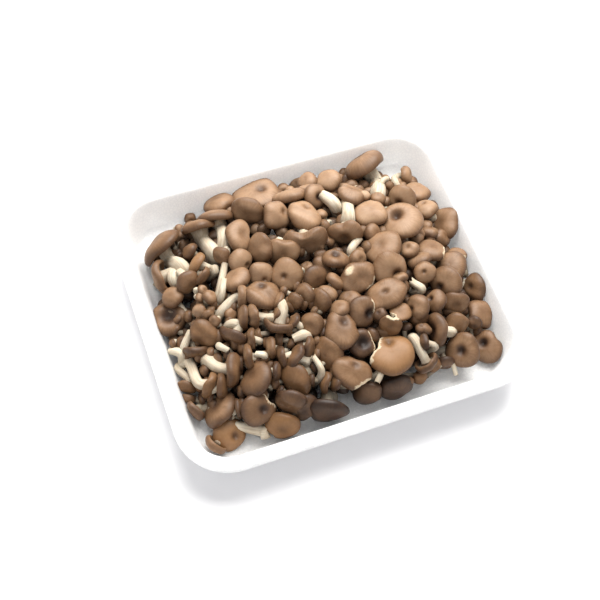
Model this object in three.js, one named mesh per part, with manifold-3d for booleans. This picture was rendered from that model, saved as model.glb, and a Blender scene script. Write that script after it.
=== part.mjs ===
// Fresh beech mushrooms heaped in a white foam tray. Millimetres, +Z up, origin under the middle of
// the tray's flat base, +X along its longer side and the heap's low side towards -Y.
import * as THREE from "three";
import { mergeVertices } from "three/addons/utils/BufferGeometryUtils.js";
import Module from "manifold-3d";

const wasm = await Module();
wasm.setup();

// ---- Driving dimensions ----
const TRAY_LENGTH = 250;
const TRAY_WIDTH = 215;
const TRAY_HEIGHT = 30;
const RIM_CORNER_RADIUS = 36;
const WALL = 3.6;
const FLOOR = 3.2;
const LIP = 9.4; // how far the lip reaches out from the inner wall
const CORNER_STEPS = 7;

const GAP = 0.8; // clearance between pieces that touch
const SMOOTHING = 0.2; // features finer than this are smoothed off the clumps
const HEAP_TOP = 44; // height of the middle of the heap above the table
const HEAP_FOOT = 8; // height of the caps at the heap's edge
const HEAP_CENTRE = { x: 0, y: 0 };
const HEAP_REACH = { x: 113, y: 97 };
const CAPS_TURN_TO = new THREE.Vector3(-170, -285, 670); // caps with no lean face this point
const CAP_SINK = 0.2; // share of its width that a cap's middle lies under the heap's surface
const CAP_SIDES = 8;
const SMALL_CAP = { across: 13, sides: 6 }; // caps under this width have fewer sides
const STEM_SIDES = 4;
const STEM_STEPS = 2;
const BUTT_RADIUS = 5.5; // the knot where the stems of a clump grow together
const BUTT_HEIGHT = FLOOR + BUTT_RADIUS + 1.2;

// ---- The heap's plan ----
// x and y are where a cap shows on the heap's surface and across is its width. Its axis leans from the
// point that the caps turn to, by lean degrees, towards a compass angle counted from +X to +Y.
// lift raises it out of the surface, dent is how hollow its top is, oval how much longer it is along
// the angle grain, and foot is the place on the heap where its stem goes down between its neighbours.
function cap(x, y, across, lean, towards, more = {}) {
  return { x, y, across, lean, towards, lift: 0, dent: 0.1, oval: 1, grain: 0, ...more };
}

// A stem without its cap, lying from one place on the heap's surface to another.
function stalk(from, to, thick, lift = 0) {
  return { from, to, thick, lift };
}

// One clump: where its butt is on the plan, then everything that grows from it.
function clump(x, y, ...heads) {
  return { x, y, heads };
}

const PLAN = {
  back: [
    clump(-80, 37, cap(-93, 64, 33, 75, 117, { dent: 0.2, foot: [-82, 38], lift: 3 })),
    clump(
      -59, 39,
      cap(-65, 67, 25.5, 100, 85, { foot: [-62, 42] }),
      cap(-51, 70, 24.5, 100, 82, { foot: [-58, 42] }),
    ),
    clump(
      -28, 65,
      cap(-44, 86, 23, 60, 95),
      cap(-29, 66, 24.5, 42, 235),
      cap(-17, 84, 34, 50, 85, { dent: 0.35, lift: 4 }),
    ),
    clump(
      4, 56,
      cap(-12, 55, 21, 30, 10, { dent: 0.3 }),
      cap(3, 69, 23, 85, 83, { foot: [4, 54] }),
      cap(6, 48, 24, 42, 55, { dent: 0.35, lift: 1 }),
      cap(20, 63, 18.5, 35, 0, { dent: 0.6 }),
    ),
    clump(
      25, 73,
      cap(22, 82, 16, 50, 100),
      cap(16, 72, 11.5, 75, 80),
      cap(36, 77, 19.5, 45, 90),
    ),
    clump(
      37, 46,
      stalk([25, 67], [32, 49], 6),
      stalk([41, 53], [29, 35], 6.5),
      cap(45, 56, 23, 72, 55, { lift: 1 }),
    ),
    clump(
      63, 49,
      cap(69, 83, 34, 68, 98, { foot: [64, 49], lift: 5 }),
      cap(62, 48, 11.5, 50, 60, { lift: 1 }),
      cap(54, 53, 8, 40, 60, { lift: 1 }),
    ),
    clump(
      91, 56,
      cap(99, 74, 15, 80, 0, { foot: [85, 65], lift: 3 }),
      cap(98, 54, 22, 60, 60, { lift: 3 }),
      cap(97, 36, 17.5, 50, 80, { dent: 0.3, lift: 4 }),
    ),
  ],
  right: [
    clump(
      74, 34,
      cap(81, 46, 21, 20, 215, { dent: 0.45, lift: 2 }),
      cap(70, 25, 32, 38, 80, { dent: 0.5, lift: 4 }),
      cap(79, 13, 10.5, 40, 0, { lift: -6 }),
    ),
    clump(
      51, 29,
      cap(51, 36, 24.5, 42, 70, { dent: 0.2 }),
      cap(46, 20, 14, 40, 0, { lift: -5 }),
    ),
    clump(
      95, 14,
      cap(109, 25, 26.5, 40, 135, { dent: 0.4, lift: 10 }),
      cap(98, 10, 14, 50, 0, { lift: -3 }),
      cap(89, 14, 14, 60, 60, { lift: -5 }),
    ),
    clump(
      69, -6,
      cap(67, 2, 14, 45, 95),
      cap(71, -7, 19.5, 60, 80, { lift: -2 }),
      cap(71, -17, 15.5, 8, 0, { lift: 3 }),
    ),
    clump(
      91, -2,
      cap(84, -1, 23, 62, 55, { dent: 0.15, lift: 1 }),
      cap(105, -4, 15, 50, 60, { lift: 3 }),
      stalk([109, -3], [113, -16], 5, 4),
    ),
    clump(
      93, -22,
      cap(94, -14, 23, 25, 90, { lift: 1 }),
      cap(84, -27, 24, 25, 190, { dent: 0.4, lift: 4 }),
      cap(110, -29, 21, 42, 165, { dent: 0.3, lift: 8 }),
    ),
    clump(
      56, -46,
      cap(55, -41, 18, 30, 165, { dent: 0.3, lift: 2 }),
      cap(53, -48, 15, 55, 260, { lift: -4 }),
      cap(55, -56, 9.5, 60, 30, { lift: -1 }),
    ),
    clump(
      68, -49,
      cap(70, -39, 16, 30, 130, { dent: 0.35, lift: 1 }),
      cap(63, -58, 23, 58, 170, { dent: 0.5, lift: 1 }),
    ),
    clump(
      82, -50,
      cap(85, -42, 18.5, 30, 265, { lift: 1 }),
      cap(80, -56, 17, 35, 260),
    ),
    clump(
      96, -58,
      cap(105, -49, 21, 42, 20, { lift: 7 }),
      cap(96, -56, 11, 40, 240, { lift: 3 }),
      cap(101, -72, 23, 25, 135, { dent: 0.55, oval: 1.15, grain: 110, lift: 8 }),
    ),
    clump(63, -68, cap(79, -73, 24.5, 15, 180, { dent: 0.4, foot: [64, -68], lift: 5 })),
  ],
  middle: [
    clump(
      -7, 27,
      cap(-18, 25, 24, 30, 250, { dent: 0.2, lift: -1 }),
      cap(-1, 28, 32, 50, 255, { dent: 0.6, lift: 1 }),
    ),
    clump(
      20, 17,
      cap(28, 26, 24, 48, 243, { dent: 0.4 }),
      cap(13, 8, 19.5, 58, 60, { dent: 0.5 }),
    ),
    clump(
      40, 8,
      cap(48, 7, 27.5, 35, 100, { dent: 0.2 }),
      cap(28, 4, 14, 40, 330, { lift: -3 }),
      stalk([37, 20], [24, 9], 5, -2),
    ),
    clump(
      52, -13,
      cap(47, -9, 24.5, 25, 310, { dent: 0.5, lift: 4 }),
      cap(51, -18, 11.5, 60, 80, { lift: 1 }),
      stalk([55, -21], [65, -29], 5, -2),
    ),
    clump(
      11, -5,
      cap(23, -10, 24, 15, 330, { dent: 0.2, lift: 1 }),
      cap(-5, -2, 19.5, 40, 300, { lift: -2 }),
      cap(7, -8, 14, 60, 30, { lift: -2 }),
      cap(3, 6, 15, 30, 0, { lift: -6 }),
    ),
    clump(
      -34, 5,
      cap(-22, 7, 22.5, 8, 190, { dent: 0.25, lift: 1 }),
      cap(-38, 13, 17.5, 22, 290, { dent: 0.3 }),
      cap(-42, -2, 24, 40, 60, { dent: 0.4, lift: 2 }),
    ),
    clump(
      -37, 39,
      cap(-42, 46, 23, 40, 20, { dent: 0.5 }),
      cap(-32, 32, 22, 45, 170),
    ),
    clump(
      -52, 21,
      cap(-48, 27, 17.5, 28, 320, { dent: 0.15 }),
      cap(-55, 15, 21, 58, 105),
    ),
    clump(
      -53, -20,
      cap(-59, -13, 17.5, 70, 165),
      cap(-52, -14, 16, 70, 170, { foot: [-41, -19] }),
      cap(-59, -28, 14, 68, 165),
    ),
    clump(
      -31, -19,
      cap(-34, -10, 13, 65, 140),
      cap(-37, -18, 14, 65, 140),
      cap(-39, -26, 21, 97, 240, { foot: [-35, -14], lift: 1 }),
      cap(-29, -27, 13, 70, 130),
      cap(-23, -13, 12, 45, 200),
    ),
    clump(
      -8, -14,
      cap(-15, -11, 16, 45, 190),
      cap(-7, -18, 17.5, 45, 185),
      cap(-1, -15, 14, 35, 60, { lift: -2 }),
    ),
    clump(
      0, -38,
      cap(3, -28, 15, 50, 95),
      cap(-1, -42, 25.5, 22, 50, { dent: 0.4, oval: 1.15, grain: 80, lift: 3 }),
    ),
    clump(
      16, -30,
      cap(17, -34, 21.5, 28, 310, { dent: 0.6, lift: 1 }),
      cap(12, -23, 16, 40, 90, { lift: -5 }),
    ),
    clump(
      35, -36,
      cap(37, -27, 25.5, 25, 80, { dent: 0.15, oval: 1.3, lift: 3 }),
      cap(31, -47, 14, 35, 250),
      cap(40, -42, 11.5, 40, 20),
      cap(28, -39, 10.5, 30, 120, { lift: -1 }),
    ),
    clump(
      -25, -39,
      cap(-25, -46, 14, 60, 330),
      stalk([-35, -38], [-27, -39], 7),
      cap(-18, -32, 16, 22, 200, { lift: 1 }),
    ),
    clump(
      -50, -42,
      cap(-64, -39, 17.5, 75, 170),
      cap(-49, -39, 16, 68, 170, { lift: -2 }),
      stalk([-60, -39], [-55, -43], 5, -1),
      cap(-44, -47, 15, 72, 180),
      cap(-36, -50, 19.5, 68, 132),
    ),
  ],
  left: [
    clump(
      -86, 31,
      cap(-99, 41, 26.5, 100, 183, { foot: [-90, 33], lift: 3 }),
      cap(-85, 28, 17.5, 50, 300, { lift: 3 }),
    ),
    clump(
      -73, 34,
      cap(-75, 37, 17.5, 78, 133, { foot: [-68, 28] }),
      cap(-76, 50, 13, 60, 120, { lift: -4 }),
      cap(-75, 28, 14, 100, 300, { lift: -1 }),
    ),
    clump(
      -71, 9,
      cap(-58, 36, 14, 50, 210, { foot: [-69, 10] }),
      stalk([-60, 23], [-67, 9], 4.5),
      cap(-75, 10, 11.5, 55, 30),
      cap(-78, 17, 8, 40, 0),
      cap(-81, 13, 7, 40, 0),
    ),
    clump(
      -90, 5,
      cap(-97, 23, 15.5, 35, 120, { foot: [-87, -3], lift: 3 }),
      cap(-103, 11, 25.5, 25, 90, { dent: 0.5 }),
    ),
    clump(
      -74, -4,
      cap(-84, 4, 10.5, 40, 200),
      cap(-80, -1, 9.5, 50, 280, { lift: -2 }),
      cap(-77, -7, 8.5, 40, 200),
      cap(-55, 2, 16, 68, 350, { foot: [-73, -3] }),
      cap(-66, -7, 9.5, 30, 0, { lift: -4 }),
    ),
    clump(
      -94, -13,
      cap(-86, -12, 19.5, 22, 230, { lift: 2 }),
      stalk([-92, -4], [-101, -14], 5),
      cap(-94, -21, 18.5, 65, 255, { lift: -2 }),
      cap(-106, -7, 7, 60, 180, { lift: -1 }),
    ),
    clump(
      -73, -18,
      stalk([-73, -32], [-79, -25], 4.5),
      cap(-69, -22, 19.5, 62, 225, { foot: [-70, -14] }),
    ),
    clump(
      -103, -20,
      cap(-106, -38, 14, 65, 240, { foot: [-108, -23] }),
      cap(-93, -45, 19.5, 72, 320, { foot: [-100, -24] }),
      stalk([-110, -9], [-102, -18], 6),
    ),
    clump(
      -88, -32,
      cap(-86, -49, 17.5, 72, 345),
      cap(-76, -43, 23, 74, 335, { foot: [-89, -30] }),
    ),
    clump(
      -95, -55,
      cap(-91, -62, 26.5, 58, 125),
      cap(-80, -66, 14, 75, 0, { lift: -3 }),
      cap(-106, -56, 16, 70, 205),
      cap(-108, -46, 10.5, 60, 250, { lift: -3 }),
    ),
  ],
  front: [
    clump(-70, -82, cap(-90, -77, 22.5, 12, 320, { dent: 0.2, foot: [-70, -85], lift: 2 })),
    clump(-95, -73, cap(-100, -82, 16, 70, 215, { lift: -1 })),
    clump(-69, -68, cap(-68, -71, 24, 25, 330, { dent: 0.3, lift: 2 })),
    clump(
      -58, -55,
      cap(-64, -54, 25.5, 52, 128, { dent: 0.15, lift: 1 }),
      cap(-50, -54, 14, 68, 340),
    ),
    clump(
      -49, -76,
      cap(-47, -74, 23, 60, 235),
      cap(-40, -79, 21, 45, 260, { lift: -3 }),
      cap(-56, -85, 23, 45, 250, { dent: 0.35, lift: -1 }),
    ),
    clump(
      -29, -63,
      cap(-40, -63, 23, 45, 208, { foot: [-29, -64] }),
      stalk([-26, -48], [-22, -63], 4.5),
    ),
    clump(
      -17, -63,
      cap(-15, -54, 24, 25, 200, { lift: -3 }),
      cap(-22, -70, 15, 65, 150, { lift: -3 }),
      cap(-15, -71, 16, 62, 150, { lift: -3 }),
    ),
    clump(-24, -77, cap(-26, -87, 27.5, 68, 250, { foot: [-21, -80], lift: -6 })),
    clump(
      3, -73,
      cap(-3, -69, 25.5, 22, 20, { dent: 0.25, oval: 1.2, grain: 320, lift: 3 }),
      cap(4, -83, 21, 50, 250, { lift: -6 }),
      cap(22, -86, 24, 60, 265, { lift: -9 }),
      stalk([10, -81], [17, -75], 4, 1),
    ),
    clump(
      19, -61,
      cap(26, -66, 31, 30, 60, { dent: 0.25, lift: 3 }),
      cap(9, -54, 19.5, 20, 0, { dent: 0.3, lift: -3 }),
    ),
    clump(
      46, -64,
      cap(49, -76, 17.5, 115, 283, { foot: [43, -60] }),
      cap(52, -64, 13, 72, 165),
      cap(52, -55, 8, 40, 60, { lift: -1 }),
    ),
    clump(
      50, -79,
      cap(42, -83, 11, 50, 270, { lift: -6 }),
      cap(54, -78, 11.5, 50, 300, { lift: -5 }),
      cap(32, -83, 10.5, 60, 250, { lift: -6 }),
      cap(63, -78, 14, 60, 260, { lift: -5 }),
      stalk([71, -89], [65, -78], 3.5, -2),
    ),
  ],
};

// ---- Places and directions ----
// A point on the smooth mound that the caps make.
function onHeap(x, y) {
  const edge = Math.abs((x - HEAP_CENTRE.x) / HEAP_REACH.x) ** 3;
  const side = Math.abs((y - HEAP_CENTRE.y) / HEAP_REACH.y) ** 3;
  const rise = Math.max(0, 1 - edge - side) ** 0.75;
  return new THREE.Vector3(x, y, HEAP_FOOT + (HEAP_TOP - HEAP_FOOT) * rise);
}

// The direction from a place on the heap to the point that the caps turn to.
function facing(place) {
  return CAPS_TURN_TO.clone().sub(place).normalize();
}

// A unit direction that leans from the facing one by an angle, towards a compass angle.
function leaned(face, lean, towards) {
  const turn = THREE.MathUtils.degToRad(towards);
  const flat = new THREE.Vector3(Math.cos(turn), Math.sin(turn), 0);
  const side = flat.addScaledVector(face, -flat.dot(face)).normalize();
  const angle = THREE.MathUtils.degToRad(lean);
  return face.clone().multiplyScalar(Math.cos(angle)).addScaledVector(side, Math.sin(angle));
}

// ---- Solids ----
function solid(geometry) {
  const bare = geometry.clone();
  bare.deleteAttribute("normal");
  bare.deleteAttribute("uv");
  const merged = mergeVertices(bare, 1e-4);
  return new wasm.Manifold(
    new wasm.Mesh({
      numProp: 3,
      vertProperties: merged.attributes.position.array,
      triVerts: new Uint32Array(merged.index.array),
    }),
  );
}

function geometryOf(made) {
  const mesh = made.getMesh();
  const geometry = new THREE.BufferGeometry();
  geometry.setAttribute("position", new THREE.BufferAttribute(mesh.vertProperties, 3));
  geometry.setIndex(new THREE.BufferAttribute(mesh.triVerts, 1));
  geometry.computeVertexNormals();
  return geometry;
}

// A rounded, inrolled cap: flat under, fullest at its margin and hollow at the middle of its top.
function capSolid(head, skin) {
  const radius = head.across / 2;
  const small = head.across < SMALL_CAP.across;
  const crown = (small ? 0.55 : 0.4) * radius;
  const profile = [
    new THREE.Vector2(0, -0.12 * radius - skin),
    new THREE.Vector2(0.78 * radius + skin, -0.3 * radius - skin),
    new THREE.Vector2(radius + skin, 0.02 * radius),
    new THREE.Vector2(0.66 * radius + skin, crown + skin),
    new THREE.Vector2(0, crown * (1 - head.dent) + skin),
  ];
  const sides = small ? SMALL_CAP.sides : CAP_SIDES;
  const round = new THREE.LatheGeometry(profile, sides).rotateX(Math.PI / 2);
  const grain = THREE.MathUtils.degToRad(head.grain);
  round.rotateZ(-grain).scale(Math.sqrt(head.oval), 1 / Math.sqrt(head.oval), 1).rotateZ(grain);
  const surface = onHeap(head.x, head.y);
  const face = facing(surface);
  const axis = leaned(face, head.lean, head.towards);
  const centre = surface.addScaledVector(face, head.lift - CAP_SINK * head.across);
  const lowest = FLOOR + radius * Math.hypot(axis.x, axis.y) + 1;
  centre.z = Math.max(centre.z, lowest);
  const upright = new THREE.Vector3(0, 0, 1);
  round.applyQuaternion(new THREE.Quaternion().setFromUnitVectors(upright, axis));
  round.translate(centre.x, centre.y, centre.z);
  return { made: solid(round), centre, axis };
}

function tube(points, thick, skin) {
  const section = new THREE.Shape(
    Array.from({ length: STEM_SIDES }, (_, side) => {
      const turn = (side / STEM_SIDES) * 2 * Math.PI;
      return new THREE.Vector2(Math.cos(turn), Math.sin(turn)).multiplyScalar(thick / 2 + skin);
    }),
  );
  const path = new THREE.CatmullRomCurve3(points);
  const settings = { steps: STEM_STEPS, bevelEnabled: false, extrudePath: path };
  return solid(new THREE.ExtrudeGeometry(section, settings));
}

// How thick a stem is under a cap of some width.
function stemThickness(across) {
  return THREE.MathUtils.clamp(0.33 * across, 3.2, 8);
}

// A whole clump as one solid. skin grows it on all sides, to leave room between neighbours.
function clumpSolid(plan, skin) {
  const butt = new THREE.Vector3(plan.x, plan.y, BUTT_HEIGHT);
  const knot = new THREE.IcosahedronGeometry(BUTT_RADIUS + skin).translate(...butt);
  return plan.heads.reduce((made, head) => {
    if (head.from) {
      const [start, end] = [head.from, head.to].map(([x, y]) => onHeap(x, y));
      const drop = head.lift - head.thick / 2;
      [start, end].forEach((point) => point.addScaledVector(facing(point), drop));
      return made.add(tube([start, end, butt], head.thick, skin));
    }
    const { made: top, centre, axis } = capSolid(head, skin);
    const thick = stemThickness(head.across);
    const under = centre.clone().addScaledVector(axis, -0.55 * head.across);
    const way = [centre, under, butt];
    if (head.foot) {
      const foot = onHeap(...head.foot);
      way[1] = foot.addScaledVector(facing(foot), head.lift - thick);
    }
    return made.add(top).add(tube(way, thick, skin));
  }, solid(knot));
}

// The tray's section: a turned corner whose quarters are pushed apart into a rounded rectangle.
function traySolid(skin) {
  const rim = RIM_CORNER_RADIUS;
  const inner = rim - LIP;
  const top = TRAY_HEIGHT;
  const profile = [
    [0, -skin],
    [rim - 16, -skin],
    [rim - 13, 1.6],
    [rim - 11.5, 5],
    [inner + WALL, top - 5.4],
    [rim - 2.2, top - 5],
    [rim + skin, top - 3],
    [rim - 1.2, top - 0.7 + skin],
    [rim - 4.5, top + skin],
    [inner - skin, top - 1.6 + skin],
    [inner - 1 - skin, top - 4],
    [inner - 6.2 - skin, 7],
    [inner - 8.4 - skin, FLOOR + 1 + skin],
    [inner - 12, FLOOR + skin],
    [0, FLOOR + skin],
  ].map(([radius, height]) => new THREE.Vector2(radius, height));
  const half = Math.PI / (4 * CORNER_STEPS);
  const turned = new THREE.LatheGeometry(profile, 4 * CORNER_STEPS, half).rotateX(Math.PI / 2);
  const place = turned.attributes.position;
  const reach = { x: TRAY_LENGTH / 2 - rim * Math.cos(half), y: TRAY_WIDTH / 2 - rim * Math.cos(half) };
  for (let i = 0; i < place.count; i += 1) {
    const [x, y] = [place.getX(i), place.getY(i)];
    if (Math.hypot(x, y) > 1e-3) {
      place.setXY(i, x + Math.sign(x) * reach.x, y + Math.sign(y) * reach.y);
    }
  }
  return solid(turned);
}

// ---- Assembly ----
// The closed surfaces of a solid, largest first; those after the first are offcuts or sealed hollows.
function bodiesOf(made) {
  return made.decompose().sort((a, b) => b.volume() - a.volume());
}

// Cuts one of two clumps back from the other: the first one if that leaves it in one body.
function partPair(first, second) {
  if (first.made.intersect(second.grown).isEmpty()) return;
  const bodies = bodiesOf(first.made.subtract(second.grown));
  if (bodies.length === 1) {
    [first.made] = bodies;
  } else {
    [second.made] = bodiesOf(second.made.subtract(first.grown));
  }
}

const foam = new THREE.MeshStandardMaterial({ color: 0xf4f4f2, roughness: 0.55, metalness: 0 });
const flesh = new THREE.MeshStandardMaterial({ color: 0x8f6a4c, roughness: 0.5, metalness: 0 });

const tray = { name: "tray", made: traySolid(0), grown: traySolid(GAP), material: foam };
const clumps = Object.entries(PLAN).flatMap(([area, plans]) =>
  plans.map((plan, index) => ({
    name: `${area}_clump_${index + 1}`,
    made: clumpSolid(plan, 0),
    grown: clumpSolid(plan, GAP),
    material: flesh,
  })),
);

clumps.forEach((piece, index) => {
  clumps.slice(index + 1).forEach((other) => partPair(piece, other));
});
for (const piece of clumps) {
  const [trimmed] = bodiesOf(piece.made.subtract(tray.grown));
  [piece.made] = bodiesOf(trimmed.simplify(SMOOTHING));
}

const object = new THREE.Group();
for (const piece of [tray, ...clumps]) {
  const mesh = new THREE.Mesh(geometryOf(piece.made), piece.material);
  mesh.name = piece.name;
  object.add(mesh);
}

export default object;
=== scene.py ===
"""Fresh beech mushrooms heaped in a white foam tray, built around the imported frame."""

import logging
import math
from dataclasses import dataclass, field
from enum import Enum

import bpy
import numpy as np
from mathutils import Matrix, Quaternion, Vector


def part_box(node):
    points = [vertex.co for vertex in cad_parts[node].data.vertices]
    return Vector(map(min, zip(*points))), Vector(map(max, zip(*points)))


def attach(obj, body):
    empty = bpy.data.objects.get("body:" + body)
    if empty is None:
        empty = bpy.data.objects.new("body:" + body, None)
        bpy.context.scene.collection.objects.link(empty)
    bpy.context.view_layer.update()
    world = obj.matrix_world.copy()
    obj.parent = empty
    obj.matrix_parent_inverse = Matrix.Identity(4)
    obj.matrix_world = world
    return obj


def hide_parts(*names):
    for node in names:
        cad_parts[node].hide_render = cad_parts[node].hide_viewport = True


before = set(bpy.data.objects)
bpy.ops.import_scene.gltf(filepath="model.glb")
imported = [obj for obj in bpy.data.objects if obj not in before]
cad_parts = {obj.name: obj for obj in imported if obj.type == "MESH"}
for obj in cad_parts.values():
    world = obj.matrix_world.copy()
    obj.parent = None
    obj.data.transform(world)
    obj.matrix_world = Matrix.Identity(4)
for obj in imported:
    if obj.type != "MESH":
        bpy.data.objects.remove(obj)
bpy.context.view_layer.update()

LOG = logging.getLogger("mushroom_tray")
MM = 0.001  # the layout below is in millimetres, and the meshes are in metres

# ---- The heap, as the frame's solids have it, in millimetres ----
FLOOR = 3.2
FLAT = 0.01  # what is less than this above the floor counts as the floor
NOTHING = 1e-6  # stands for no distance where it is divided by
HEAP_TOP = 44.0
HEAP_FOOT = 8.0
HEAP_REACH = (113.0, 97.0)  # how far from the tray's middle the mound ends, along and across it
CAPS_TURN_TO = Vector((-170.0, -285.0, 670.0))
CAP_SINK = 0.2  # how deep a cap's middle lies under the heap's surface, as a share of its width
UNDER_REACH = (104.0, 84.0)  # how far small mushrooms spread from the tray's middle
BUTT_RADIUS = 5.5
BUTT_HEIGHT = FLOOR + BUTT_RADIUS + 1.2

# ---- What the caps are like; sizes that don't say more are shares of the cap's radius ----
DOME_POWER = 2.08  # how square-shouldered a cap is; 2 is part of a ball
CROWN = ((8, 14, 20, 30), (0.8, 0.66, 0.52, 0.42))  # widths in millimetres, and the caps' heights
ROLL = ((8, 20, 30), (0.42, 0.3, 0.24))  # widths in millimetres, and how far in the margins are rolled
DROP = ((8, 20, 30), (0.34, 0.24, 0.18))  # widths in millimetres, and how far the margins hang down
UNDER_RISE = 0.05  # how high the gills' outer ends are, as a share of the cap's height
GILL_SLOPE = 0.14  # how steeply the gills run down towards the stem
STEM_HOLE = 0.16  # where the gills end round the stem
SMALL_CAP = 13.0  # caps up to this width, in millimetres, have a plainer mesh
FINE_MESH = (56, 20, 8, 7)  # sides, then rings over the top, round the margin and along the gills
PLAIN_MESH = (32, 11, 5, 4)
LOBES = 0.085  # how far a cap's outline strays from a circle
LUMPS = 0.013  # how uneven a cap's top is
DENT_DEPTH = 0.95  # how deep a full dent is, as a share of the cap's height
DENT_SPREAD = 0.22  # how deep the dents that the plan leaves open are at most
DIMPLE_SHADE = 1.5  # how dark a dimple is for its depth
SMUDGE = 1.25  # how much wider a dimple's dark patch is than the dimple
NOTCH_LIFT = 0.35  # how far a notch lifts the margin, for its depth
TEAR_JAG = 0.012  # how ragged a torn margin is
TEAR_WAVES = (5, 8, 13, 19)
LEAST_CUT = 0.06  # where a tear would be shallower than this, the margin is whole
TORN_BAND = 0.09  # how far bare flesh reaches in from a torn margin
TONE_SPREAD = 0.2
WARM_SPREAD = 0.2
PAINTED_BACK_LIGHT = 0.4  # painted light: how much lighter than the middle's the caps at the tray's back are, the front ones darker
LIGHT_REACH = 60.0  # how far from the middle that is, in millimetres
SHADE_FROM = 3.0  # the depths in the heap, in millimetres, between which painted shade darkens its mushrooms
FULL_SHADE_AT = 16.0

# ---- What the stems are like, in millimetres where nothing else is said ----
STANDING = 60.0  # caps that lean fewer degrees than this have their stems under them
NECK = 0.42  # how far a stem runs straight out of its cap, as a share of the cap's width
LEAST_FALL = 0.25  # how far it drops by there at least, as such a share too
BOW = 0.25  # how far a stem bows sideways, in its own thicknesses
STEM_SHARE = 0.33  # a stem's thickness, as a share of the cap's width
STEM_LEAST, STEM_MOST = 3.4, 8.5
THICK_STEM = 4.5  # stems thicker than this have a finer mesh
FLARE = 0.45  # how much a stem widens into its cap, as a share of its thickness
FLARE_FADE = 9.0  # how fast that widening, and the tan next to the cap, fade along the stem


class Area(Enum):
    """Which part of the tray a clump lies in; the value starts its node's name."""

    BACK = "back"
    RIGHT = "right"
    MIDDLE = "middle"
    LEFT = "left"
    FRONT = "front"


class Slot(Enum):
    """The names of the two material slots."""

    FOAM = "foam"
    MUSHROOM = "mushroom"


class Trait(Enum):
    """What a mushroom's mesh says about each of its points, for the finishes to read."""

    TONE = "tone"  # how light this mushroom is, from -1 to 1, with painted light making it lighter at the tray's back and darker at its front
    WARM = "warm"  # how orange this mushroom is
    DARK = "dark"  # the dark middles of dimples, painted shade deep in the gills under the cap, and darker tan on stems next to their caps and towards their butts
    EDGE = "edge"  # the thin margin of a cap, where painted shade darkens the skin
    GILL = "gill"
    STEM = "stem"
    TORN = "torn"
    PAINTED_SHADE = "deep"  # painted shade, for how far down between its neighbours the point is


# ---- Shader graphs ----
def tint(red: int, green: int, blue: int) -> tuple[float, float, float, float]:
    """A linear colour from the 0 to 255 values of a colour chart.

    Args:
        red: The chart's red.
        green: The chart's green.
        blue: The chart's blue.

    Returns:
        Red, green, blue and an alpha of 1, as a shader socket takes them.
    """
    parts = [value / 255 for value in (red, green, blue)]
    linear = [part / 12.92 if part <= 0.04045 else ((part + 0.055) / 1.055) ** 2.4 for part in parts]
    return (linear[0], linear[1], linear[2], 1.0)


class Number:
    """A socket that carries one number, on which Python's operators add Math nodes."""

    def __init__(self, graph: "Graph", socket: bpy.types.NodeSocket) -> None:
        """Keeps the graph that the socket is in."""
        self.graph = graph
        self.socket = socket

    def _math(self, operation: str, first: "Number | float", second: "Number | float") -> "Number":
        """Adds one Math node.

        Args:
            operation: The node's operation.
            first: Its first value.
            second: Its second value.

        Returns:
            The node's result.
        """
        made = self.graph.node("Math", {"operation": operation}, {0: first, 1: second})
        return Number(self.graph, made)

    def __add__(self, other: "Number | float") -> "Number":
        """Adds."""
        return self._math("ADD", self, other)

    __radd__ = __add__

    def __sub__(self, other: "Number | float") -> "Number":
        """Subtracts the other value."""
        return self._math("SUBTRACT", self, other)

    def __rsub__(self, other: "Number | float") -> "Number":
        """Subtracts this value from the other."""
        return self._math("SUBTRACT", other, self)

    def __mul__(self, other: "Number | float") -> "Number":
        """Multiplies."""
        return self._math("MULTIPLY", self, other)

    __rmul__ = __mul__

    def sine(self) -> "Number":
        """The sine."""
        return self._math("SINE", self, 0.0)

    def clamped(self) -> "Number":
        """The value kept between 0 and 1."""
        return self._math("MINIMUM", self._math("MAXIMUM", self, 0.0), 1.0)


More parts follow.
